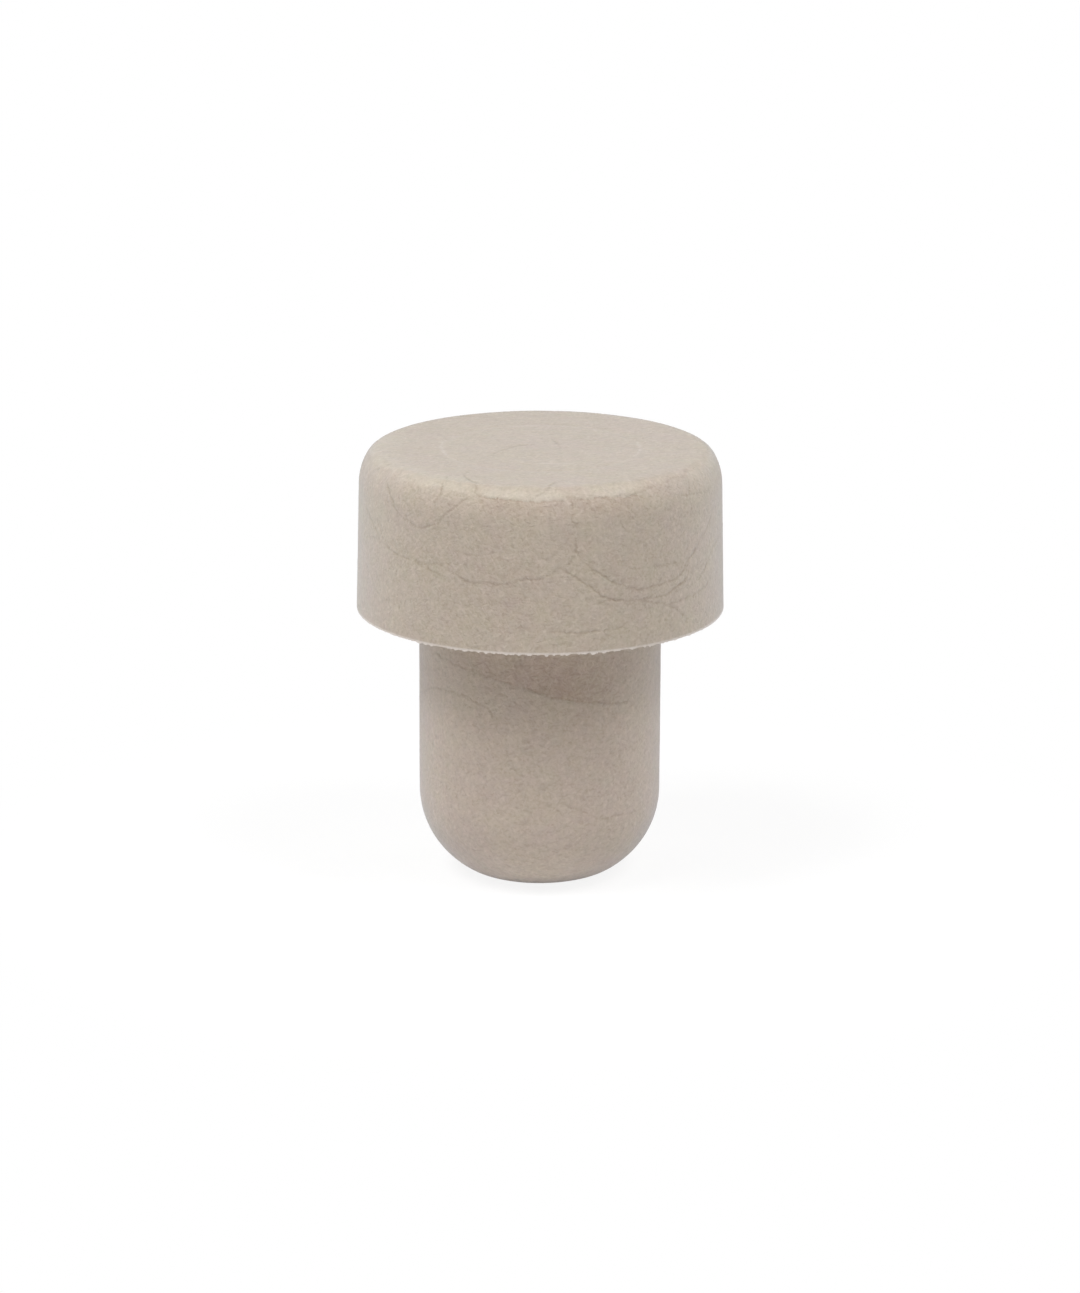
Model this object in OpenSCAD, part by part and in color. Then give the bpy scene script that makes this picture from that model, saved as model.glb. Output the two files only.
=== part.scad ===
// T-shaped bottle stopper, moulded in one piece: a round head on a straight round shank.
// The flat end of the shank's tip is at the origin, and +Z runs up the axis. Millimetres.

/* [Shank] */
// Diameter of the straight shank, a press fit in the bottle neck
shank_d = 19.5; // [17:0.1:24]
// Length of the shank, from its tip to the underside of the head
shank_l = 22; // [18:0.5:34]
// Radius of the broad arc that starts the tip's rounding, next to the straight part
tip_side_r = 7.35; // [5:0.05:8]
// Degrees that the broad arc turns through before the tighter arc takes over
tip_side_turn = 57; // [20:1:80]
// Radius of the tighter arc that runs on into the flat end of the tip
tip_end_r = 4.15; // [1:0.05:5]

/* [Head] */
// Diameter of the head at its lower edge, inside the parting lip
head_d = 29.4; // [26:0.1:36]
// Height of the head, from its underside to its flat top
head_h = 13; // [8:0.5:20]
// Draft of the head's side in degrees, narrowing upwards
head_draft = 1; // [0:0.25:4]
// Radius of the broad arc that starts the rounding at the top of the side
head_side_r = 4.35; // [2:0.05:6]
// Degrees that the broad arc turns through before the tighter arc takes over
head_side_turn = 29; // [10:1:70]
// Radius of the tighter arc that runs on into the flat top
head_end_r = 1.35; // [0.3:0.05:2]

/* [Marks of the mould] */
// Height of the lip left at the parting line, round the lower edge of the head
lip_h = 0.2; // [0.1:0.05:0.5]
// How far the parting lip stands out from the lower edge of the head
lip_out = 0.05; // [0.02:0.01:0.3]
// Diameter of the witness groove that the mould's insert leaves in the flat top
witness_d = 15.6; // [8:0.1:20]
// Width of the witness groove
witness_w = 0.3; // [0.1:0.05:0.8]
// Depth of the witness groove
witness_depth = 0.05; // [0.02:0.01:0.2]

/* [Hidden] */
$fn = 128;

// Degrees of an arc that one straight stretch of the outline stands for, at most
arc_step = 4;

skin_colour = [0.72, 0.66, 0.58];
total_h = shank_l + head_h;
shank_r = shank_d / 2;
head_r = head_d / 2;
witness_r = witness_d / 2;

// Directions, in degrees, in which the outline faces
outwards = 0;
upwards = 90;
downwards = -90;
tip_handover = outwards - tip_side_turn;
head_handover = head_draft + head_side_turn;

// Tip: the broad arc meets the straight side, and the tighter one meets the flat end
tip_rounding_h = tip_end_r + (tip_side_r - tip_end_r) * sin(tip_side_turn);
tip_side_centre = [shank_r - tip_side_r, tip_rounding_h];
tip_end_centre = polar(tip_side_centre, tip_side_r - tip_end_r, tip_handover);

// Head: the tighter arc meets the flat top, and the broad one meets the drafted side
head_side_centre_z = total_h - head_end_r - (head_side_r - head_end_r) * sin(head_handover);
head_side_top_z = head_side_centre_z + head_side_r * sin(head_draft);
head_side_top_r = head_r - (head_side_top_z - shank_l) * tan(head_draft);
head_side_centre = [head_side_top_r - head_side_r * cos(head_draft), head_side_centre_z];
head_end_centre = polar(head_side_centre, head_side_r - head_end_r, head_handover);

// Point at a distance from a centre, in a given direction
function polar(centre, r, direction) = centre + r * [cos(direction), sin(direction)];

// Points of an arc after its first one, which ends the stretch before it
function arc_on(centre, r, from, to) =
  let (steps = ceil(abs(to - from) / arc_step))
  [for (i = [1:steps]) polar(centre, r, from + (to - from) * i / steps)];

// Half section of the shank, from the flat end of its tip up to the head
module shank_section() {
  polygon(concat(
    [[0, 0], [tip_end_centre.x, 0]],
    arc_on(tip_end_centre, tip_end_r, downwards, tip_handover),
    arc_on(tip_side_centre, tip_side_r, tip_handover, outwards),
    [[shank_r, shank_l], [0, shank_l]]
  ));
}

// Half section of the head, with its drafted side and its rounded top edge
module head_section() {
  polygon(concat(
    [[0, shank_l], [head_r, shank_l], [head_side_top_r, head_side_top_z]],
    arc_on(head_side_centre, head_side_r, head_draft, head_handover),
    arc_on(head_end_centre, head_end_r, head_handover, upwards),
    [[0, total_h]]
  ));
}

// Half section of the disc whose rim is the parting lip
module parting_lip_section() {
  translate([0, shank_l])
    square([head_r + lip_out, lip_h]);
}

// Half section of the witness groove, cut past the flat top by its own depth
module witness_groove_section() {
  translate([witness_r - witness_w / 2, total_h - witness_depth])
    square([witness_w, 2 * witness_depth]);
}

module stopper() {
  color(skin_colour)
    rotate_extrude()
      difference() {
        union() {
          shank_section();
          head_section();
          parting_lip_section();
        }
        witness_groove_section();
      }
}

stopper();
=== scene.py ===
from math import cos, pi, radians, sin, tan
from random import Random

import bpy
import numpy as np
from mathutils import Matrix, Vector, kdtree, noise


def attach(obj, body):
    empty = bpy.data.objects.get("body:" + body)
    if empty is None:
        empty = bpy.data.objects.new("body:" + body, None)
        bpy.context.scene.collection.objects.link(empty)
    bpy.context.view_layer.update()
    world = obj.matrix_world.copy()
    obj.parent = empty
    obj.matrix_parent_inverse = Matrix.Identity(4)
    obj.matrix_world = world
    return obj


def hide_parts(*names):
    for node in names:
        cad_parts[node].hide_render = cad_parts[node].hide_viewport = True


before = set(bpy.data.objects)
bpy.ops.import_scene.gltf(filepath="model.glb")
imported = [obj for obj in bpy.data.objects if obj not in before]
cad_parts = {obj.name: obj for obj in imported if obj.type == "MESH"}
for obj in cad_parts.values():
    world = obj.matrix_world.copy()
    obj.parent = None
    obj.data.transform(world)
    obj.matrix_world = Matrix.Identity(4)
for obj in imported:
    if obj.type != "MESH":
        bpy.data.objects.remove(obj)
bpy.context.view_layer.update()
print("frame loaded")

mm = 0.001  # the scene is in metres, the sizes below are millimetres


# camera and studio

view = {
    "target": (0, 0, 18.5),
    "distance": 400,
    "elevation": 15.86,  # degrees above level
    "roll": 0.19,  # degrees
    "lens": 138.2,
    "sensor": 36,  # on its long side
    "nearest": 10,  # nothing nearer is drawn
}

lamps = {  # degrees round from the camera's side and up from level, watts
    "highLeft": {"round": -60, "up": 60, "power": 0.97},
    "highRight": {"round": 60, "up": 60, "power": 0.75},
    "frontLeft": {"round": -45, "up": 48, "power": 0.43},
    "frontRight": {"round": 45, "up": 48, "power": 0.3},
    "backLeft": {"round": -120, "up": 15, "power": 0.43},
    "backRight": {"round": 120, "up": 15, "power": 0.44},
}

studio = {
    "lampDistance": 450,
    "lampSize": 160,
    "ambient": 0.1,
    "floorSize": 4000,
    "floorAlbedo": 0.9,  # what the floor throws back on the stopper
    "tipGlow": 0.28,  # light from the paper right under the stopper, and how far round it
    "tipGlowReach": 12,
    "seenAlbedo": 0.15,  # near the stopper the camera sees a lit part, for the shadow ...
    "seenGlow": 0.865,  # ... and plain white added to it
    "shadowReach": 50,  # the floor is plain white from here on
    "shadowWhole": 0.6,  # 0 at that reach, 1 under the stopper: the lit part is whole from here in
}


def aim(thing, target):
    direction = Vector(target) - thing.location
    thing.rotation_euler = direction.to_track_quat("-Z", "Y").to_euler()


def setCamera():
    lens = bpy.data.cameras.new("camera")
    lens.sensor_width = view["sensor"]
    lens.lens = view["lens"]
    lens.clip_start = view["nearest"] * mm
    camera = bpy.data.objects.new("camera", lens)
    bpy.context.scene.collection.objects.link(camera)
    tilt = radians(view["elevation"])
    back = Vector((0, -cos(tilt), sin(tilt)))
    camera.location = (Vector(view["target"]) + back * view["distance"]) * mm
    turn = Matrix.Rotation(pi / 2 - tilt, 3, "X") @ Matrix.Rotation(radians(view["roll"]), 3, "Z")
    camera.rotation_euler = turn.to_euler()
    bpy.context.scene.camera = camera


def hangLamps():
    target = Vector(view["target"]) * mm
    for name, box in lamps.items():
        light = bpy.data.lights.new(name, "AREA")
        light.size = studio["lampSize"] * mm
        light.energy = box["power"]
        lamp = bpy.data.objects.new(name, light)
        bpy.context.scene.collection.objects.link(lamp)
        turn, up = radians(box["round"]), radians(box["up"])
        away = Vector((sin(turn) * cos(up), -cos(turn) * cos(up), sin(up)))
        lamp.location = target + away * studio["lampDistance"] * mm
        lamp.visible_camera = False
        aim(lamp, target)


def seenDirectly(nodes, links):
    # 1 for what the camera or a reflection sees, 0 for the light that falls on things
    path = nodes.new("ShaderNodeLightPath")
    seen = nodes.new("ShaderNodeMath")
    seen.operation = "MAXIMUM"
    links.new(path.outputs["Is Camera Ray"], seen.inputs[0])
    links.new(path.outputs["Is Glossy Ray"], seen.inputs[1])
    through = nodes.new("ShaderNodeMath")
    through.operation = "MAXIMUM"
    links.new(seen.outputs[0], through.inputs[0])
    links.new(path.outputs["Is Transmission Ray"], through.inputs[1])
    return through.outputs[0]


def paintWorld():
    world = bpy.data.worlds.new("studio")
    bpy.context.scene.world = world
    world.use_nodes = True
    nodes, links = world.node_tree.nodes, world.node_tree.links
    nodes.clear()
    white = nodes.new("ShaderNodeBackground")
    white.inputs["Color"].default_value = (1, 1, 1, 1)
    fill = nodes.new("ShaderNodeBackground")
    fill.inputs["Color"].default_value = (1, 1, 1, 1)
    fill.inputs["Strength"].default_value = studio["ambient"]
    mix = nodes.new("ShaderNodeMixShader")
    output = nodes.new("ShaderNodeOutputWorld")
    links.new(seenDirectly(nodes, links), mix.inputs[0])
    links.new(fill.outputs[0], mix.inputs[1])
    links.new(white.outputs[0], mix.inputs[2])
    links.new(mix.outputs[0], output.inputs[0])


def whitePaper():
    paper = bpy.data.materials.new("whitePaper")
    paper.use_nodes = True
    nodes, links = paper.node_tree.nodes, paper.node_tree.links
    nodes.clear()
    bounce = nodes.new("ShaderNodeBsdfDiffuse")
    bounce.inputs["Color"].default_value = (*[studio["floorAlbedo"]] * 3, 1)
    seen = nodes.new("ShaderNodeBsdfDiffuse")
    seen.inputs["Color"].default_value = (*[studio["seenAlbedo"]] * 3, 1)
    glow = nodes.new("ShaderNodeEmission")
    glow.inputs["Strength"].default_value = studio["seenGlow"]
    shaded = nodes.new("ShaderNodeAddShader")
    links.new(seen.outputs[0], shaded.inputs[0])
    links.new(glow.outputs[0], shaded.inputs[1])
    place = nodes.new("ShaderNodeTexCoord")

    def within(reach):
        # 1 under the stopper, 0 from the reach on
        shrink = nodes.new("ShaderNodeMapping")
        shrink.inputs["Scale"].default_value = [1 / (reach * mm)] * 3
        links.new(place.outputs["Object"], shrink.inputs["Vector"])
        near = nodes.new("ShaderNodeTexGradient")
        near.gradient_type = "SPHERICAL"
        links.new(shrink.outputs[0], near.inputs["Vector"])
        return near.outputs["Fac"]

    shine = nodes.new("ShaderNodeMath")
    shine.operation = "MULTIPLY"
    shine.inputs[1].default_value = studio["tipGlow"]
    links.new(within(studio["tipGlowReach"]), shine.inputs[0])
    tipGlow = nodes.new("ShaderNodeEmission")
    links.new(shine.outputs[0], tipGlow.inputs["Strength"])
    thrown = nodes.new("ShaderNodeAddShader")
    links.new(bounce.outputs[0], thrown.inputs[0])
    links.new(tipGlow.outputs[0], thrown.inputs[1])
    soften = nodes.new("ShaderNodeMapRange")
    soften.interpolation_type = "SMOOTHSTEP"
    soften.inputs["From Max"].default_value = studio["shadowWhole"]
    links.new(within(studio["shadowReach"]), soften.inputs["Value"])
    white = nodes.new("ShaderNodeEmission")
    paperSeen = nodes.new("ShaderNodeMixShader")
    links.new(soften.outputs["Result"], paperSeen.inputs[0])
    links.new(white.outputs[0], paperSeen.inputs[1])
    links.new(shaded.outputs[0], paperSeen.inputs[2])
    mix = nodes.new("ShaderNodeMixShader")
    output = nodes.new("ShaderNodeOutputMaterial")
    links.new(seenDirectly(nodes, links), mix.inputs[0])
    links.new(thrown.outputs[0], mix.inputs[1])
    links.new(paperSeen.outputs[0], mix.inputs[2])
    links.new(mix.outputs[0], output.inputs[0])
    return paper


def layFloor():
    bpy.ops.object.select_all(action="DESELECT")
    bpy.ops.mesh.primitive_plane_add(size=studio["floorSize"] * mm, location=(0, 0, 0))
    floor = bpy.context.object
    floor.name = "floor"
    floor.data.materials.append(whitePaper())


bpy.context.scene.view_settings.view_transform = "Standard"
setCamera()
hangLamps()
paintWorld()
layFloor()
print("studio set")


# stopper, millimetres and degrees

stopper = {
    "shankRadius": 9.75,
    "shankLength": 22,
    "tipSideArc": (7.35, 57),  # radius, degrees
    "tipEndArc": 4.15,  # radius, to the flat end
    "headRadius": 14.7,  # at the lower edge
    "headHeight": 13,
    "headDraft": 1,
    "headSideArc": (4.35, 29),
    "headEndArc": 1.35,
    "lip": (0.05, 0.2),  # out, high
    "lipSteps": 3,
    "lipStrip": 0.15,  # the last strip of the head's underside, beside the lip
    "witness": (7.9, 0.5, 0.02),  # soft ring in the top: middle radius, width, depth
    "witnessShape": ((0.6, 0), (0.2, 1), (-0.2, 1), (-0.6, 0)),  # out in widths, down in depths
    "turns": 270,  # faces round the axis
    "grain": 0.36,  # distance between rings where the skin has detail
    "plain": 0.6,  # the same on the top
    "hidden": 1.2,  # and on the flats below
    "together": 0.002,  # vertices this near each other are one
    "smooth": 40,  # edges that turn less are shaded smooth
}


def polar(centre, radius, direction):
    return (centre[0] + radius * cos(radians(direction)), centre[1] + radius * sin(radians(direction)))


def straightOn(start, end, step):
    count = max(1, round(Vector((end[0] - start[0], end[1] - start[1])).length / step))
    return [
        (start[0] + (end[0] - start[0]) * i / count, start[1] + (end[1] - start[1]) * i / count)
        for i in range(1, count + 1)
    ]


def arcOn(centre, radius, start, end, step):
    count = max(1, round(radians(abs(end - start)) * radius / step))
    return [polar(centre, radius, start + (end - start) * i / count) for i in range(1, count + 1)]


def shankSection():
    # from the middle of the tip's flat end up to the head
    s = stopper
    sideR, sideTurn = s["tipSideArc"]
    endR = s["tipEndArc"]
    tipSide = (s["shankRadius"] - sideR, endR + (sideR - endR) * sin(radians(sideTurn)))
    tipEnd = polar(tipSide, sideR - endR, -sideTurn)
    path = [(0, 0)]
    path += straightOn(path[-1], (tipEnd[0], 0), s["hidden"])
    path += arcOn(tipEnd, endR, -90, -sideTurn, s["grain"])
    path += arcOn(tipSide, sideR, -sideTurn, 0, s["grain"])
    path += straightOn(path[-1], (s["shankRadius"], s["shankLength"]), s["grain"])
    return path


def headSection():
    # from the lip's lower edge to the flat top
    s = stopper
    under, top = s["shankLength"], s["shankLength"] + s["headHeight"]
    lipOut, lipHigh = s["lip"]
    sideR, turn = s["headSideArc"]
    endR, draft = s["headEndArc"], s["headDraft"]
    handover = draft + turn
    centreZ = top - endR - (sideR - endR) * sin(radians(handover))
    sideTopZ = centreZ + sideR * sin(radians(draft))
    sideTopR = s["headRadius"] - (sideTopZ - under) * tan(radians(draft))
    headSide = (sideTopR - sideR * cos(radians(draft)), centreZ)
    headEnd = polar(headSide, sideR - endR, handover)
    path = [(s["headRadius"] + lipOut, under)]
    path += straightOn(path[-1], (path[-1][0], under + lipHigh), lipHigh / s["lipSteps"])
    path += straightOn(path[-1], (sideTopR, sideTopZ), s["grain"])
    path += arcOn(headSide, sideR, draft, handover, s["grain"])
    path += arcOn(headEnd, endR, handover, 90, s["grain"])
    return path


def topSection():
    # the flat top from its edge to the middle, with the fine witness ring
    s = stopper
    edge = headSection()[-1]
    middle, width, depth = s["witness"]
    top = edge[1]
    ring = [(middle + width * out, top - depth * down) for out, down in s["witnessShape"]]
    return straightOn(edge, ring[0], s["plain"]) + ring[1:] + straightOn(ring[-1], (0, top), s["plain"])


def fullSection():
    s = stopper
    path = shankSection()
    path += straightOn(path[-1], (s["headRadius"] - s["lipStrip"], s["shankLength"]), s["hidden"])
    return path + headSection() + topSection()


def turnStopper():
    path = fullSection()
    bpy.ops.object.select_all(action="DESELECT")
    bpy.ops.mesh.primitive_plane_add(size=mm, location=(0, 0, 0))
    piece = bpy.context.object
    piece.name = "mouldedStopper"
    bpy.ops.object.mode_set(mode="EDIT")
    bpy.ops.mesh.select_all(action="SELECT")
    bpy.ops.mesh.merge(type="CENTER")  # one vertex, at the centre of the tip
    for (r0, z0), (r1, z1) in zip(path, path[1:]):
        step = ((r1 - r0) * mm, 0, (z1 - z0) * mm)
        bpy.ops.mesh.extrude_region_move(TRANSFORM_OT_translate={"value": step})
    bpy.ops.mesh.select_all(action="SELECT")
    bpy.ops.mesh.spin(steps=stopper["turns"], angle=2 * pi, center=(0, 0, 0), axis=(0, 0, 1))
    bpy.ops.mesh.select_all(action="SELECT")
    bpy.ops.mesh.remove_doubles(threshold=stopper["together"] * mm)
    bpy.ops.mesh.normals_make_consistent(inside=False)
    bpy.ops.object.mode_set(mode="OBJECT")
    bpy.ops.object.shade_smooth_by_angle(angle=radians(stopper["smooth"]))
    return piece


piece = turnStopper()
print("stopper turned:", len(piece.data.vertices), "vertices")


# folds, where the foam's skin met itself in the mould: (degrees round, height)
# 0 degrees faces the camera, and a height above the top runs in over the flat by as much

fold = {
    "depth": 0.04,
    "width": 0.095,
    "puff": 0.014,  # the skin swells beside a fold, more so below it
    "puffAt": 0.2,
    "puffWidth": 1.2,  # in widths of the fold
    "puffShare": (0.6, 0.4),  # on both sides, and more of it below than above
    "reach": 1.2,  # a fold does nothing farther away
    "thin": 0.8,  # a fold thins out over this length at its ends
    "tip": 0.1,  # what is left of it at the very end
    "wander": ((1.1, 0.08), (0.45, 0.09), (0.2, 0.06)),  # size of the wiggles, how far they stray
    "broken": (0.7, 0.5),  # size of the stretches where it fades, how much it fades
    "usual": 0.8,  # strength between them
    "least": 0.15,
    "samples": 0.05,  # distance between the samples along a fold
    "fewest": 2,  # samples from one spot to the next
    "ahead": 2,  # samples each way that give its direction
    "bands": (0.36, 0.19),  # faces this near a fold are cut finer, once and again
    "seed": 1,
}

headFolds = {  # how deep, and where it runs
    "leftSwoop": (0.9, [
        (-60, 34.2), (-57, 33.6), (-53, 32.8), (-50, 32), (-44, 31.4), (-39, 31.3), (-34, 31.8),
        (-30, 32.7), (-25, 33.8), (-22, 34.2),
    ]),
    "leftSwoopEdge": (1, [(-59, 34), (-56, 33.5), (-53, 32.7), (-51, 32.3)]),
    "leftSwoopEnd": (0.9, [(-34, 31.8), (-32, 32.3), (-28, 33.1), (-25, 33.7)]),
    "leftTick": (1, [(-38, 36.2), (-35, 35), (-34, 34.5), (-34, 34), (-35, 33.3)]),
    "leftTop": (1.2, [(-34, 37.1), (-30, 36.2), (-27, 35.6), (-22, 34.9), (-21, 34.6)]),
    "rimLeft": (0.8, [
        (-22, 34.5), (-19, 34.2), (-14, 34.2), (-9, 34.1), (-4, 34.1), (2, 34.1), (5, 34.1), (7, 34),
        (9, 34.2),
    ]),
    "rimFarLeft": (0, [  # no fold, only the line for a painted highlight above it
        (-118, 34.9), (-100, 34.8), (-80, 34.7), (-60, 34.6), (-40, 34.5), (-22, 34.5),
    ]),
    "rimRight": (0.7, [(9, 34.2), (13, 34.2), (21, 34.2), (26, 34.1), (30, 34.1), (35, 34)]),
    "middleTop": (1.2, [(6, 36.5), (3, 35), (0, 34.6), (-3, 34.2)]),
    "shoulder": (0.75, [(27, 34.1), (34, 34.3), (41, 34.5), (49, 34.7), (56, 34.7), (60, 35)]),
    "shoulderDrop": (0.8, [(57, 34.7), (56, 34.3), (54, 33.3), (54, 32.6)]),
    "farRim": (0.5, [(46, 33.4), (54, 33.3), (60, 33.1), (66, 33)]),
    "topArch": (1, [(-49, 42.8), (-65, 43.9), (-80, 45.1), (-105, 45.8), (-132, 46.5), (-165, 46.7)]),
    "topHook": (0.9, [(163, 44.9), (128, 46), (65, 46.2)]),
    "middleKnot": (1.4, [(9, 34.3), (10, 33.8), (10, 33.2)]),
    "middleDrop": (1, [(10, 33.4), (10, 32.6), (11, 32.2), (11, 31.6)]),
    "middleLow": (1.4, [(11, 31.3), (11, 30.6), (11, 30.1), (12, 29.7), (13, 29.4)]),
    "middleLink": (0.8, [(11, 30), (9, 29.4), (7, 28.8)]),
    "edgeLeft": (0.7, [
        (-72, 28.8), (-66, 29.1), (-59, 29.2), (-50, 28.6), (-43, 28.5), (-38, 28.4), (-33, 28.6),
        (-29, 28.3),
    ]),
    "edgeLeftHigh": (0.8, [(-72, 31.4), (-66, 30.5), (-60, 29.5)]),
    "longWave": (0.85, [
        (-30, 28.4), (-27, 28), (-22, 27.5), (-17, 27.6), (-13, 27.5), (-9, 27.7), (-4, 28),
        (0, 28), (3, 28.4), (6, 28.8), (8, 28.6),
    ]),
    "waveDouble": (0.8, [(-43, 28.5), (-35, 28), (-30, 27.7)]),
    "rightBowl": (1.1, [
        (7, 28.8), (12, 27.9), (17, 27), (20, 26.4), (25, 26), (30, 25.8), (36, 25.8), (42, 25.8),
        (46, 26.2), (51, 26.6), (53, 27.4),
    ]),
    "rightInner": (0.95, [
        (13, 29.4), (15, 28.9), (19, 28.2), (22, 27.6), (27, 27.1), (31, 26.7), (36, 26.7),
        (41, 26.8), (47, 27), (51, 27.5),
    ]),
    "rightRise": (0.9, [(50, 27.5), (53, 28.2), (57, 28.8), (60, 29.5), (65, 30.2), (69, 31.2)]),
    "rightShort": (0.8, [(36, 28.3), (42, 28.2), (47, 28.2), (50, 28.1), (53, 28.3)]),
    "rightScuff": (0.7, [(44, 28.5), (48, 27.8), (51, 27.4)]),
    "rightUnder": (0.85, [(31, 25.7), (38, 25.4), (44, 24.8), (48, 24.1), (51, 23.5)]),
    "rightEdge": (0.8, [(41, 25.1), (47, 25), (53, 25.1), (61, 25.3), (66, 25.8)]),
    "rightEdgeHigh": (0.7, [(57, 26), (63, 27), (68, 28), (77, 28.7)]),
    "lowScuff": (0.5, [(38, 24.8), (41, 24.4), (46, 23.8)]),
    "lowRight": (0.9, [(2, 23.8), (7, 23.8), (11, 23.6), (15, 23.7), (20, 23.7), (25, 23.8), (28, 24.2)]),
    "lowMiddle": (0.6, [(-8, 25), (-5, 24.2), (-2, 23.7)]),
    "lowLeft": (0.5, [(-12, 26.6), (-10, 25.8), (-8, 25.3)]),
    "nickRight": (0.7, [(25, 32.6), (26, 31.9), (28, 31.3)]),
    "nickBeside": (0.7, [(26, 33.8), (29, 33.1), (32, 32.4)]),
    "nickNext": (0.5, [(34, 33.2), (38, 32.3)]),
    "nickFarRight": (0.6, [(55, 32.8), (54, 31.9), (52, 31.3)]),
    "nickMiddle": (0.5, [(-14, 33.1), (-11, 33.5), (-9, 33.4)]),
    "nickUnder": (0.5, [(-13, 32), (-10, 32.4)]),
    "tailLeft": (0.4, [(-62, 30.8), (-58, 29.7), (-53, 28.8)]),
    "backWave": (0.8, [
        (80, 28.9), (95, 29.3), (106, 29.5), (116, 29.1), (126, 28.3), (135, 27.9), (144, 28.1),
        (152, 28.8), (160, 29.8), (166, 30.9),
    ]),
    "backBowl": (0.9, [
        (148, 30.2), (153, 29), (160, 28), (168, 27.3), (178, 26.9), (188, 26.9), (198, 27.3),
        (206, 28), (212, 29.1), (215, 30.4),
    ]),
    "backInner": (0.7, [(162, 29.3), (170, 28.5), (180, 28.1), (190, 28.2), (199, 28.8)]),
    "backDrop": (1, [(228, 34.3), (227, 33), (225, 32), (226, 30.9), (223, 30)]),
    "backTail": (0.8, [
        (223, 30), (230, 29), (238, 28.2), (247, 27.6), (256, 27.4), (266, 27.8), (274, 28.6),
    ]),
    "backLow": (0.6, [(118, 24.6), (127, 24.1), (137, 23.8), (148, 23.9), (158, 24.3)]),
    "backShoulder": (0.8, [(96, 33.9), (103, 32.8), (111, 32.1), (119, 32), (126, 32.6), (132, 33.6)]),
    "backCurl": (0.6, [(240, 25), (247, 24.4), (256, 24.2), (264, 24.6), (270, 25.4), (272, 26.4)]),
    "backRim": (0.6, [(152, 34.2), (163, 34.1), (174, 34.2), (186, 34.1), (196, 34.2), (207, 34.1)]),
    "backTop": (0.5, [(150, 36.2), (156, 35.2), (160, 34.3)]),
    "backTopLeft": (0.5, [(200, 37.2), (206, 35.8), (211, 34.8)]),
    "backNick": (0.6, [(190, 32.9), (193, 31.8), (192, 30.9)]),
    "backTick": (0.6, [(262, 33.2), (265, 32)]),
    "backScuff": (0.5, [(108, 26.9), (114, 26.3), (121, 26.1)]),
}

shankFolds = {
    "underHead": (0.7, [
        (-60, 19.5), (-51, 19.2), (-44, 19), (-35, 18.9), (-29, 18.7), (-23, 18.5), (-18, 18.3),
        (-12, 18), (-6, 17.8), (0, 17.4), (5, 17.1), (11, 16.9), (17, 16.6), (24, 16.4), (30, 16.2),
        (36, 16), (42, 15.9), (48, 15.9),
    ]),
    "underDouble": (0.4, [(-33, 19.3), (-25, 18.9), (-20, 18.6)]),
    "leftArch": (0.7, [
        (-74, 15.2), (-67, 16), (-54, 16.6), (-43, 16.7), (-36, 16.6), (-31, 16.3), (-26, 16),
        (-23, 15.5), (-21, 15),
    ]),
    "slantHigh": (0.2, [(-16, 17.1), (-10, 16.4), (-4, 15.8), (1, 15.1), (4, 14.6)]),
    "slantLow": (0.4, [(-18, 13.2), (-15, 12.2), (-12, 11.2), (-9, 10.2)]),
    "shortLeft": (0.35, [(-29, 17.9), (-25, 17.6), (-18, 17.7)]),
    "lowRight": (0.6, [
        (9, 8.3), (13, 8), (18, 7.7), (24, 7.2), (30, 6.6), (36, 6.6), (45, 6.6), (55, 6.4),
    ]),
    "lowCross": (0.5, [(15, 9.3), (11, 8.7), (8, 8.1), (10, 7.4), (13, 7.2)]),
    "lowTail": (0.3, [(30, 6.3), (35, 5.6), (43, 5.1)]),
    "tipLeft": (0.3, [(-51, 5.3), (-49, 4.7), (-43, 4.3)]),
    "nickLeft": (0.5, [(-60, 11), (-55, 10.9), (-51, 10.8)]),
    "nickMiddle": (0.4, [(-23, 10.9), (-17, 11.1)]),
    "backSweep": (0.8, [
        (96, 17.8), (108, 17.2), (120, 16.9), (132, 16.9), (144, 17.3), (156, 18), (168, 18.8),
        (178, 19.8),
    ]),
    "backLow": (0.5, [(150, 10.5), (162, 9.6), (174, 9.1), (186, 9), (198, 9.4), (208, 10.2)]),
    "backRise": (0.6, [
        (196, 14.9), (205, 14.2), (214, 13.6), (222, 13.6), (232, 14.4), (243, 15.2), (255, 15.7),
        (268, 15.9), (280, 15.6),
    ]),
    "backSlant": (0.4, [(118, 13.4), (124, 12.4), (131, 11.6)]),
    "tipBack": (0.3, [(170, 4.6), (180, 4.1), (190, 4.2), (200, 4.8)]),
}

nick = {  # short creases strewn all over
    "count": 40,  # on the head, and again on the shank
    "onHead": (22.8, 33.8),  # between these heights
    "onShank": (2.5, 21),
    "length": (0.5, 1.5),
    "deep": (0.25, 0.5),
    "bend": 0.25,
    "seed": 7,
}

paintedShading = {  # painted shade and painted highlight beside some folds: above it, below it, how far, fading in and out along it
    # the head's painted shadow on the shank, above this fold
    "underHead": (-0.22, -0.05, 5, 14, 7),
    # painted highlight on the rounding above the rim's folds, painted shade below them
    "rimLeft": (0.14, -0.09, 1.6, 1.6, 1.6),
    "rimRight": (0.1, -0.09, 1.6, 1.6, 1.6),
    "rimFarLeft": (0.1, 0, 2.6, 4, 2),
    # darker to both sides of the long wave
    "longWave": (-0.03, -0.03, 5, 5, 5),
}

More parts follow.
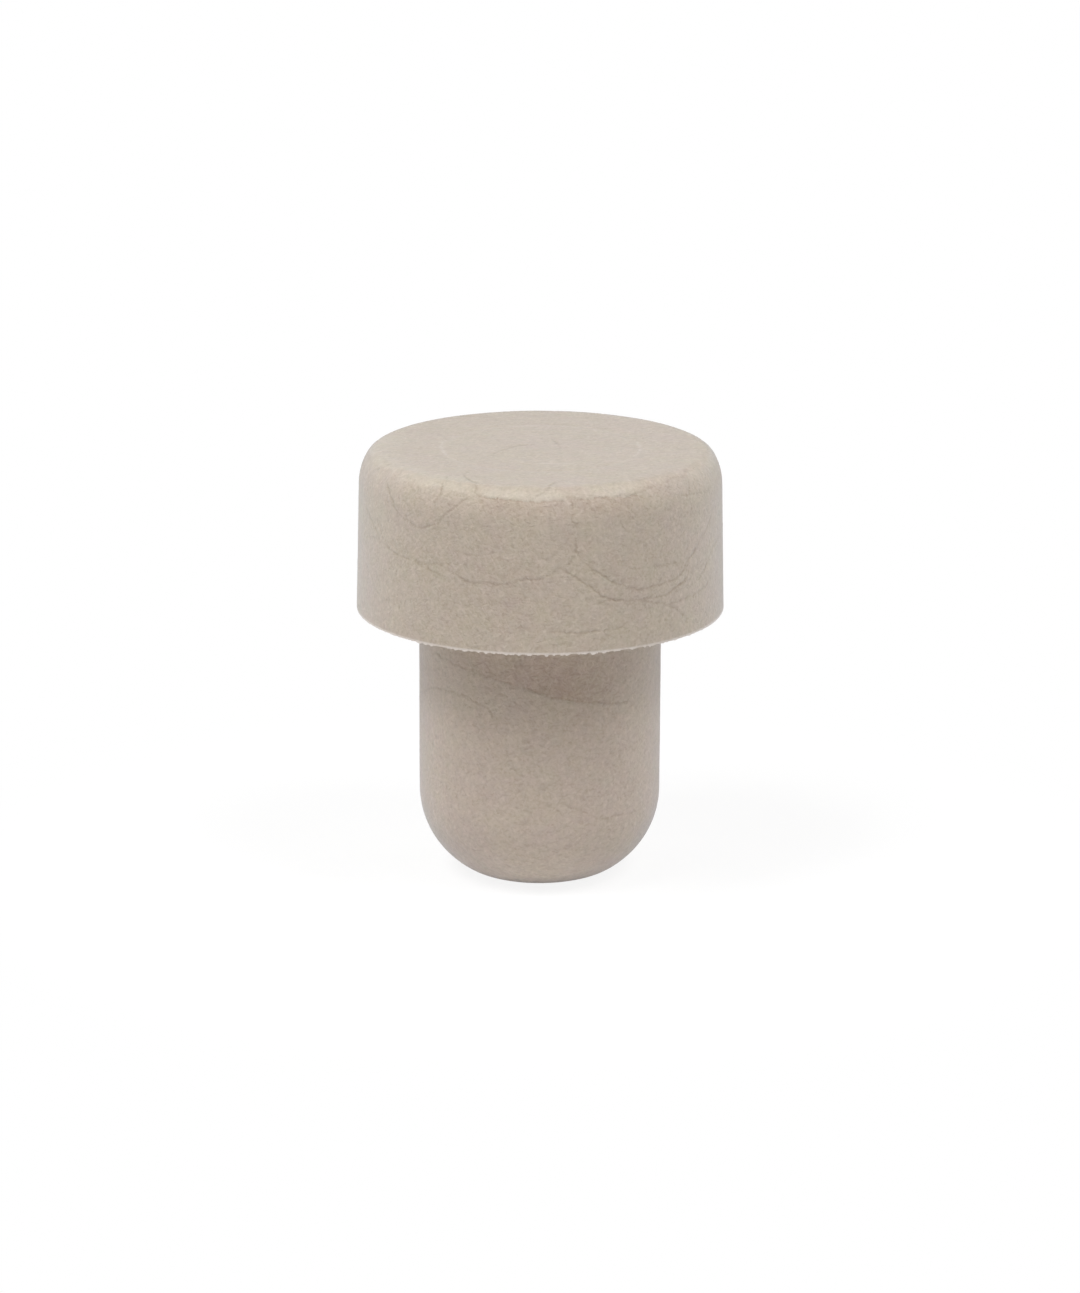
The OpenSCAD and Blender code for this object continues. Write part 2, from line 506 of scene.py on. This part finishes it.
streaks = {  # pale streaks on the top, and painted highlights along its ring, strongest at the sides
    "ring": (0.1, [(turn, 39.85) for turn in range(-180, 181, 30)]),
    "ringLeft": (0.32, [(-68, 39.9), (-82, 39.9), (-96, 39.8), (-110, 39.7)]),
    "ringRight": (0.27, [(68, 39.9), (82, 39.9), (96, 39.8), (110, 39.7)]),
    "topFront": (0.42, [(-5, 42.4), (4, 42.4), (12, 42.3), (20, 42), (29, 41.7)]),
    "topBack": (0.4, [(-163, 40), (-171, 40.3), (-179, 40.4)]),
    "topLeft": (0.25, [(-77, 41.4), (-84, 41.6), (-92, 41.5)]),
}

streak = {
    "width": 0.14,
    "reach": 0.56,  # nothing is left of it from here on
}


def radiusAt(side, height):
    # half width at a height on one of the two sections, past the top it runs inwards
    heights = [z for r, z in side]
    reach = np.interp(height, heights, [r for r, z in side])
    return reach - max(0, height - heights[-1])


def curveThrough(before, start, end, after, t):
    # Catmull-Rom, so a fold runs smoothly through its spots
    straight = (end - before) * t
    bend = (2 * before - 5 * start + 4 * end - after) * t ** 2
    twist = (3 * start - before - 3 * end + after) * t ** 3
    return start + 0.5 * (straight + bend + twist)


def drawFold(spots, side, deep):
    # points along a fold with the way it runs, the skin's outward side and its strength
    top = side[-1][1]
    ends = [spots[0]] + spots + [spots[-1]]
    line = []
    for four in zip(ends, ends[1:], ends[2:], ends[3:]):
        (turn0, z0), (turn1, z1) = four[1:3]
        across = radians(turn1 - turn0) * radiusAt(side, z0)
        count = max(fold["fewest"], round(Vector((across, z1 - z0)).length / fold["samples"]))
        for i in range(count):
            turn, z = [curveThrough(*[spot[k] for spot in four], i / count) for k in (0, 1)]
            reach = radiusAt(side, z)
            seed = Vector((reach * sin(radians(turn)), reach * cos(radians(turn)), z))
            for size, stray in fold["wander"]:
                swerve = noise.noise_vector(seed / size) * stray
                turn += np.degrees(swerve.x / reach)
                z += swerve.z
            reach = radiusAt(side, z)
            line.append(Vector((reach * sin(radians(turn)), -reach * cos(radians(turn)), min(z, top))))
    samples = []
    for i, point in enumerate(line):
        toEnd = min(i, len(line) - 1 - i) * fold["samples"]
        fade = min(1, toEnd / fold["thin"] + fold["tip"])
        size, fading = fold["broken"]
        uneven = max(fold["least"], fold["usual"] + fading * noise.noise(point / size))
        along = line[min(i + fold["ahead"], len(line) - 1)] - line[max(i - fold["ahead"], 0)]
        samples.append((point * mm, along.normalized(), deep * fade * uneven))
    return samples


def strewNicks(side, heights, dice):
    # short bent creases at any place and slant between two heights
    samples = []
    for i in range(nick["count"]):
        turn, z = dice.uniform(-180, 180), dice.uniform(*heights)
        slant, length = dice.uniform(0, pi), dice.uniform(*nick["length"])
        bend = dice.uniform(-1, 1) * nick["bend"] * length
        across, rise = length / 2 * cos(slant), length / 2 * sin(slant)
        degree = radians(1) * radiusAt(side, z)  # how long a degree is at this height
        middle = (turn - bend * sin(slant) / degree, z + bend * cos(slant))
        spots = [(turn - across / degree, z - rise), middle, (turn + across / degree, z + rise)]
        samples += drawFold(spots, side, dice.uniform(*nick["deep"]))
    return samples


def findNearest(samples):
    tree = kdtree.KDTree(len(samples))
    for i, (point, along, deep) in enumerate(samples):
        tree.insert(point, i)
    tree.balance()
    return tree


def drawFolds():
    head, shank = headSection(), shankSection()
    samples = []
    for folds, side in ((headFolds, head), (shankFolds, shank)):
        for deep, spots in folds.values():
            if deep > 0:
                samples += drawFold(spots, side, deep)
    for name, (pale, spots) in streaks.items():
        if name != "ring":  # the whole ring is too faint to need finer faces
            samples += drawFold(spots, head, 0)  # not carved, only cut finer
    dice = Random(nick["seed"])
    samples += strewNicks(head, nick["onHead"], dice)
    samples += strewNicks(shank, nick["onShank"], dice)
    return samples, findNearest(samples)


def selectNone(edges=False, faces=False):
    # nothing is selected, and the kind that is named can be
    bpy.context.tool_settings.mesh_select_mode = (False, edges, faces)
    bpy.ops.object.mode_set(mode="EDIT")
    bpy.ops.mesh.select_all(action="DESELECT")
    bpy.ops.object.mode_set(mode="OBJECT")


def subdivideSelected(cuts):
    bpy.ops.object.mode_set(mode="EDIT")
    bpy.ops.mesh.subdivide(number_cuts=cuts, ngon=False)
    bpy.ops.object.mode_set(mode="OBJECT")


def keepMarks(mesh, name, marks):
    # one number for each vertex, for the material
    mesh.attributes.new(name, "FLOAT", "POINT").data.foreach_set("value", marks)


def cutFiner(piece, tree):
    # finer faces along the folds, so they can be carved
    mesh = piece.data
    for band in fold["bands"]:
        selectNone(faces=True)
        for face in mesh.polygons:
            face.select = tree.find(face.center)[2] < band * mm
        subdivideSelected(1)


lip = {
    "reach": 0.3,  # how far in from the lip's edge the teeth take hold
    "hang": 0.17,  # the longest teeth
    "tooth": 0.36,  # the width of one
    "cuts": 3,  # finer steps round the lip
    "slack": 1.05,  # lip heights above and below its edge that still count as lip
    "tiny": 0.001,  # an edge that runs round the lip has ends that differ less than this
    "fine": (2.7, 0.5),  # smaller teeth on the teeth: how many times finer, how strong
    "edge": 4,  # how suddenly the teeth set in towards the edge
    "atSides": 0.15,  # how long they are at the sides, against the front and the back
    "teeth": (0.15, 1.3),  # even part, ragged part
    "pale": (0.8, 0.6),  # the same for the pale colour
    "paleLow": 2.5,  # how fast that sets in below the lip's upper edge
}


def tearLip(piece):
    # the thin flash left on the head's lower edge, torn into small uneven teeth
    mesh = piece.data
    under, lipHigh = stopper["shankLength"] * mm, stopper["lip"][1] * mm
    inner = (stopper["headRadius"] - lip["reach"]) * mm
    outer = (stopper["headRadius"] + stopper["lip"][0]) * mm
    tiny, band = lip["tiny"] * mm, lipHigh * lip["slack"]
    selectNone(edges=True)
    for edge in mesh.edges:
        ends = [mesh.vertices[i].co for i in edge.vertices]
        level = abs(ends[0].z - ends[1].z) < tiny
        reach = [end.xy.length for end in ends]
        onLip = all(abs(end.z - under) < band for end in ends) and min(reach) > inner
        edge.select = onLip and level and abs(reach[0] - reach[1]) < tiny
    subdivideSelected(lip["cuts"])
    finer, fineStrength = lip["fine"]
    evenHang, raggedHang = lip["teeth"]
    evenPale, raggedPale = lip["pale"]
    marks = np.zeros(len(mesh.vertices))
    for i, vertex in enumerate(mesh.vertices):
        place = vertex.co
        reach = place.xy.length
        if abs(place.z - under) > band or reach < inner:
            continue
        rim = Vector((place.x, place.y, 0)) / (lip["tooth"] * mm)
        ragged = noise.noise(rim) + fineStrength * noise.noise(rim * finer)
        low = 1 - (place.z - under) / lipHigh
        edge = max(0, (reach - inner) / (outer - inner)) ** lip["edge"]
        torn = lip["atSides"] + (1 - lip["atSides"]) * (place.y / reach) ** 2
        marks[i] = edge * min(1, lip["paleLow"] * low) * min(1, evenPale + raggedPale * ragged)
        vertex.co.z -= low * edge * torn * max(0, evenHang + raggedHang * ragged) * lip["hang"] * mm
    keepMarks(mesh, "lip", marks)
    mesh.update()


swells = {"swell": (6, 0.03), "pucker": (1.2, 0.012)}  # size of the dents, how deep


def swellSkin(piece):
    for name, (size, depth) in swells.items():
        cloud = bpy.data.textures.new(name, "CLOUDS")
        cloud.noise_scale = size * mm
        cloud.noise_depth = 1
        push = piece.modifiers.new(name, "DISPLACE")
        push.texture = cloud
        push.texture_coords = "LOCAL"
        push.mid_level = 1  # only inwards, the moulded size is the largest
        push.strength = depth * mm
        bpy.ops.object.modifier_apply(modifier=name)


def paintShading(piece):
    # painted shade and painted highlight beside some folds, a step at the fold that dies out away from it
    mesh = piece.data
    tones = np.zeros(len(mesh.vertices))
    for name, (above, below, reach, fadeIn, fadeOut) in paintedShading.items():
        folds, side = (headFolds, headSection()) if name in headFolds else (shankFolds, shankSection())
        line = drawFold(folds[name][1], side, 1)
        tree = findNearest(line)
        for i, vertex in enumerate(mesh.vertices):
            point, nearest, away = tree.find(vertex.co)
            if away > reach * mm:
                continue
            before, after = nearest * fold["samples"], (len(line) - 1 - nearest) * fold["samples"]
            fade = min(1, before / fadeIn, after / fadeOut) * (1 - (away / (reach * mm)) ** 2)
            tones[i] += (above if vertex.co.z > point.z else below) * fade
    keepMarks(mesh, "paintedShading", tones)


def paleStreaks(piece):
    # pale streaks and painted ring highlights, strongest on the streak, and soft to both sides
    mesh = piece.data
    marks = np.zeros(len(mesh.vertices))
    for pale, spots in streaks.values():
        line = drawFold(spots, headSection(), pale)
        tree = findNearest(line)
        for i, vertex in enumerate(mesh.vertices):
            point, nearest, away = tree.find(vertex.co)
            if away < streak["reach"] * mm:
                marks[i] += line[nearest][2] * np.exp(-((away / (streak["width"] * mm)) ** 2))
    keepMarks(mesh, "pale", marks)


def carveFolds(piece, samples, tree):
    # a groove along each fold, and a low swelling to both sides of it
    mesh = piece.data
    places = [vertex.co.copy() for vertex in mesh.vertices]
    outwards = [vertex.normal.copy() for vertex in mesh.vertices]
    marks = np.zeros(len(places))
    width, puffAt = fold["width"] * mm, fold["puffAt"] * mm
    puffWidth = fold["puffWidth"] * width
    both, lower = fold["puffShare"]
    tiny = 0.01 * mm  # keeps the division from blowing up on the fold itself
    for i, (place, outward) in enumerate(zip(places, outwards)):
        point, nearest, away = tree.find(place)
        if away > fold["reach"] * mm:
            continue
        along, deep = samples[nearest][1:]
        below = along.cross(outward).dot(place - point) / max(away, tiny)  # 1 below, -1 above
        groove = np.exp(-((away / width) ** 2)) * deep
        puff = np.exp(-(((away - puffAt) / puffWidth) ** 2)) * deep * (both + lower * below)
        mesh.vertices[i].co = place + outward * (puff * fold["puff"] - groove * fold["depth"]) * mm
        marks[i] = groove
    keepMarks(mesh, "fold", marks)
    mesh.update()


noise.seed_set(fold["seed"])  # without it the wiggles differ from run to run
samples, tree = drawFolds()
print("folds drawn:", len(samples), "samples")
cutFiner(piece, tree)
print("skin cut finer:", len(piece.data.vertices), "vertices")
tearLip(piece)
print("lip torn")
swellSkin(piece)
paintShading(piece)
paleStreaks(piece)
carveFolds(piece, samples, tree)
print("folds carved")


foam = {
    "colour": (0.451, 0.378, 0.306),
    "grainColour": (0.415, 0.385, 0.355),  # greyer, so that dark spots look browner
    "roughness": 0.6,
    "roughGrain": 0.2,  # how much the roughness follows the grain
    "sheen": 0.25,
    "sheenTint": (0.62, 0.79, 1),
    "tone": {"size": 3.5, "detail": 2, "twist": 0.5, "strength": 0.05},  # slow unevenness of the colour
    "felt": {"size": 0.52, "detail": 2, "twist": 1.6, "strength": 0.38, "relief": 0.03},  # soft grain
    "strands": {  # short wrinkles
        "long": 0.9,
        "thick": 0.24,
        "twist": 0.6,
        "peaks": (0.55, 0.75),  # of the noise, where a wrinkle sets in and where it is full
        "strength": 0.06,
        "relief": 0.006,
        "ways": (  # lean, tilt and place of some pale ones, and of as many dark ones
            ((25, 15, 3), (-20, 60, 15)),
            ((-55, -20, 9), (65, -40, 21)),
            ((10, -65, 33), (-85, 70, 27)),
        ),
    },
    "blush": {"size": 0.85, "detail": 2, "shift": (0.019, 0, -0.022)},  # warmer and cooler spots
    "flush": {"size": 1.2, "detail": 3, "shift": (0.012, -0.023, 0.012)},  # pinker and greener ones
    "patches": {"size": 4, "detail": 2, "shift": (0.004, -0.014, 0.024)},
    "spots": {"twist": 0.5, "place": 40, "apart": 11},  # for those three, which don't fall together
    "paintedShadingColour": (0.34, 0.4, 0.37),  # the painted shade beside a fold keeps its red
    "shankPaintedLight": (0.014, 0.006, 0.01),  # painted light: the shank is painted a little paler and pinker than the head, for warm light thrown back under the head
    "shankPaintedLightFrom": 26,  # it sets in below this height, and is full at the next
    "shankPaintedLightFull": 14,
    "shankPaintedLightAbove": -0.3,  # the head is painted a little the other way
    # painted shade in the fold grooves
    "foldShade": 0.25,
    # the lip's pale flash, also the colour of the top's pale streaks and painted ring highlights
    "lipColour": (0.65, 0.585, 0.535),
}


def foamSkin():
    skin = bpy.data.materials.new("foamSkin")
    skin.use_nodes = True
    nodes, links = skin.node_tree.nodes, skin.node_tree.links
    shader = nodes["Principled BSDF"]
    shader.inputs["Sheen Weight"].default_value = foam["sheen"]
    shader.inputs["Sheen Tint"].default_value = (*foam["sheenTint"], 1)

    def work(operation, *values):
        step = nodes.new("ShaderNodeMath")
        step.operation = operation
        for socket, value in zip(step.inputs, values):
            if isinstance(value, (int, float)):
                socket.default_value = value
            else:
                links.new(value, socket)
        return step.outputs[0]

    place = nodes.new("ShaderNodeTexCoord")

    def grain(size, detail, twist, shift=0):
        # noise with lumps of the given size in millimetres, about evenly above and below 0
        spread = nodes.new("ShaderNodeMapping")
        spread.inputs["Scale"].default_value = [1 / (size * mm)] * 3
        spread.inputs["Location"].default_value = [shift] * 3
        links.new(place.outputs["Object"], spread.inputs["Vector"])
        lumps = nodes.new("ShaderNodeTexNoise")
        lumps.inputs["Scale"].default_value = 1
        lumps.inputs["Detail"].default_value = detail
        lumps.inputs["Distortion"].default_value = twist
        links.new(spread.outputs[0], lumps.inputs["Vector"])
        return work("SUBTRACT", lumps.outputs["Fac"], 0.5)

    strand = foam["strands"]

    def wrinkles(lean, tilt, shift):
        # short thin strokes that lie one way
        lay = nodes.new("ShaderNodeMapping")
        lay.inputs["Rotation"].default_value = (radians(tilt), radians(lean), 0)
        links.new(place.outputs["Object"], lay.inputs["Vector"])
        stretch = nodes.new("ShaderNodeMapping")
        thin = 1 / (strand["thick"] * mm)
        stretch.inputs["Scale"].default_value = (thin, thin, 1 / (strand["long"] * mm))
        stretch.inputs["Location"].default_value = [shift] * 3
        links.new(lay.outputs[0], stretch.inputs["Vector"])
        lumps = nodes.new("ShaderNodeTexNoise")
        lumps.inputs["Scale"].default_value = 1
        lumps.inputs["Detail"].default_value = 0
        lumps.inputs["Distortion"].default_value = strand["twist"]
        links.new(stretch.outputs[0], lumps.inputs["Vector"])
        peaks = nodes.new("ShaderNodeMapRange")
        peaks.interpolation_type = "SMOOTHSTEP"
        peaks.inputs["From Min"].default_value = strand["peaks"][0]
        peaks.inputs["From Max"].default_value = strand["peaks"][1]
        links.new(lumps.outputs["Fac"], peaks.inputs["Value"])
        return peaks.outputs["Result"]

    def mark(name):
        source = nodes.new("ShaderNodeAttribute")
        source.attribute_name = name
        return source.outputs["Fac"]

    def tinted(shift, amount, base):
        # the base colour, moved by the shift times the amount
        step = nodes.new("ShaderNodeVectorMath")
        step.operation = "MULTIPLY_ADD"
        step.inputs[0].default_value = shift
        links.new(amount, step.inputs[1])
        if isinstance(base, tuple):
            step.inputs[2].default_value = base
        else:
            links.new(base, step.inputs[2])
        return step.outputs[0]

    soft, slow = foam["felt"], foam["tone"]
    felt = grain(soft["size"], soft["detail"], soft["twist"])
    tone = grain(slow["size"], slow["detail"], slow["twist"])
    strands = 0
    for pale, dark in strand["ways"]:
        strands = work("ADD", strands, work("SUBTRACT", wrinkles(*pale), wrinkles(*dark)))

    shade = work("MULTIPLY", felt, soft["strength"])
    shade = work("ADD", shade, work("MULTIPLY", strands, strand["strength"]))
    shade = work("ADD", shade, work("MULTIPLY", tone, slow["strength"]))
    # painted shade in the fold grooves
    shade = work("SUBTRACT", shade, work("MULTIPLY", mark("fold"), foam["foldShade"]))
    hued = tinted(foam["grainColour"], shade, foam["colour"])
    # painted shade and painted highlight beside some folds
    hued = tinted(foam["paintedShadingColour"], mark("paintedShading"), hued)
    spots = foam["spots"]
    for i, name in enumerate(("blush", "flush", "patches")):
        hue = foam[name]
        lumps = grain(hue["size"], hue["detail"], spots["twist"], spots["place"] + spots["apart"] * i)
        hued = tinted(hue["shift"], lumps, hued)
    height = nodes.new("ShaderNodeSeparateXYZ")
    links.new(place.outputs["Object"], height.inputs[0])
    down = nodes.new("ShaderNodeMapRange")
    down.inputs["From Min"].default_value = foam["shankPaintedLightFrom"] * mm
    down.inputs["From Max"].default_value = foam["shankPaintedLightFull"] * mm
    down.inputs["To Min"].default_value = foam["shankPaintedLightAbove"]
    links.new(height.outputs["Z"], down.inputs["Value"])
    # painted light: the shank paler and pinker, the head a little the other way
    hued = tinted(foam["shankPaintedLight"], down.outputs["Result"], hued)
    paler = nodes.new("ShaderNodeMix")
    paler.data_type = "RGBA"
    paler.inputs["B"].default_value = (*foam["lipColour"], 1)
    links.new(work("ADD", mark("lip"), mark("pale")), paler.inputs["Factor"])
    links.new(hued, paler.inputs["A"])
    links.new(paler.outputs["Result"], shader.inputs["Base Color"])

    uneven = work("MULTIPLY_ADD", felt, foam["roughGrain"], foam["roughness"])
    links.new(uneven, shader.inputs["Roughness"])

    relief = work("MULTIPLY", felt, soft["relief"])
    relief = work("ADD", relief, work("MULTIPLY", strands, strand["relief"]))
    bump = nodes.new("ShaderNodeBump")
    bump.inputs["Distance"].default_value = mm
    links.new(relief, bump.inputs["Height"])
    links.new(bump.outputs[0], shader.inputs["Normal"])
    return skin


piece.data.materials.append(foamSkin())
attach(piece, "root")
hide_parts("stopper")
print("stopper finished")
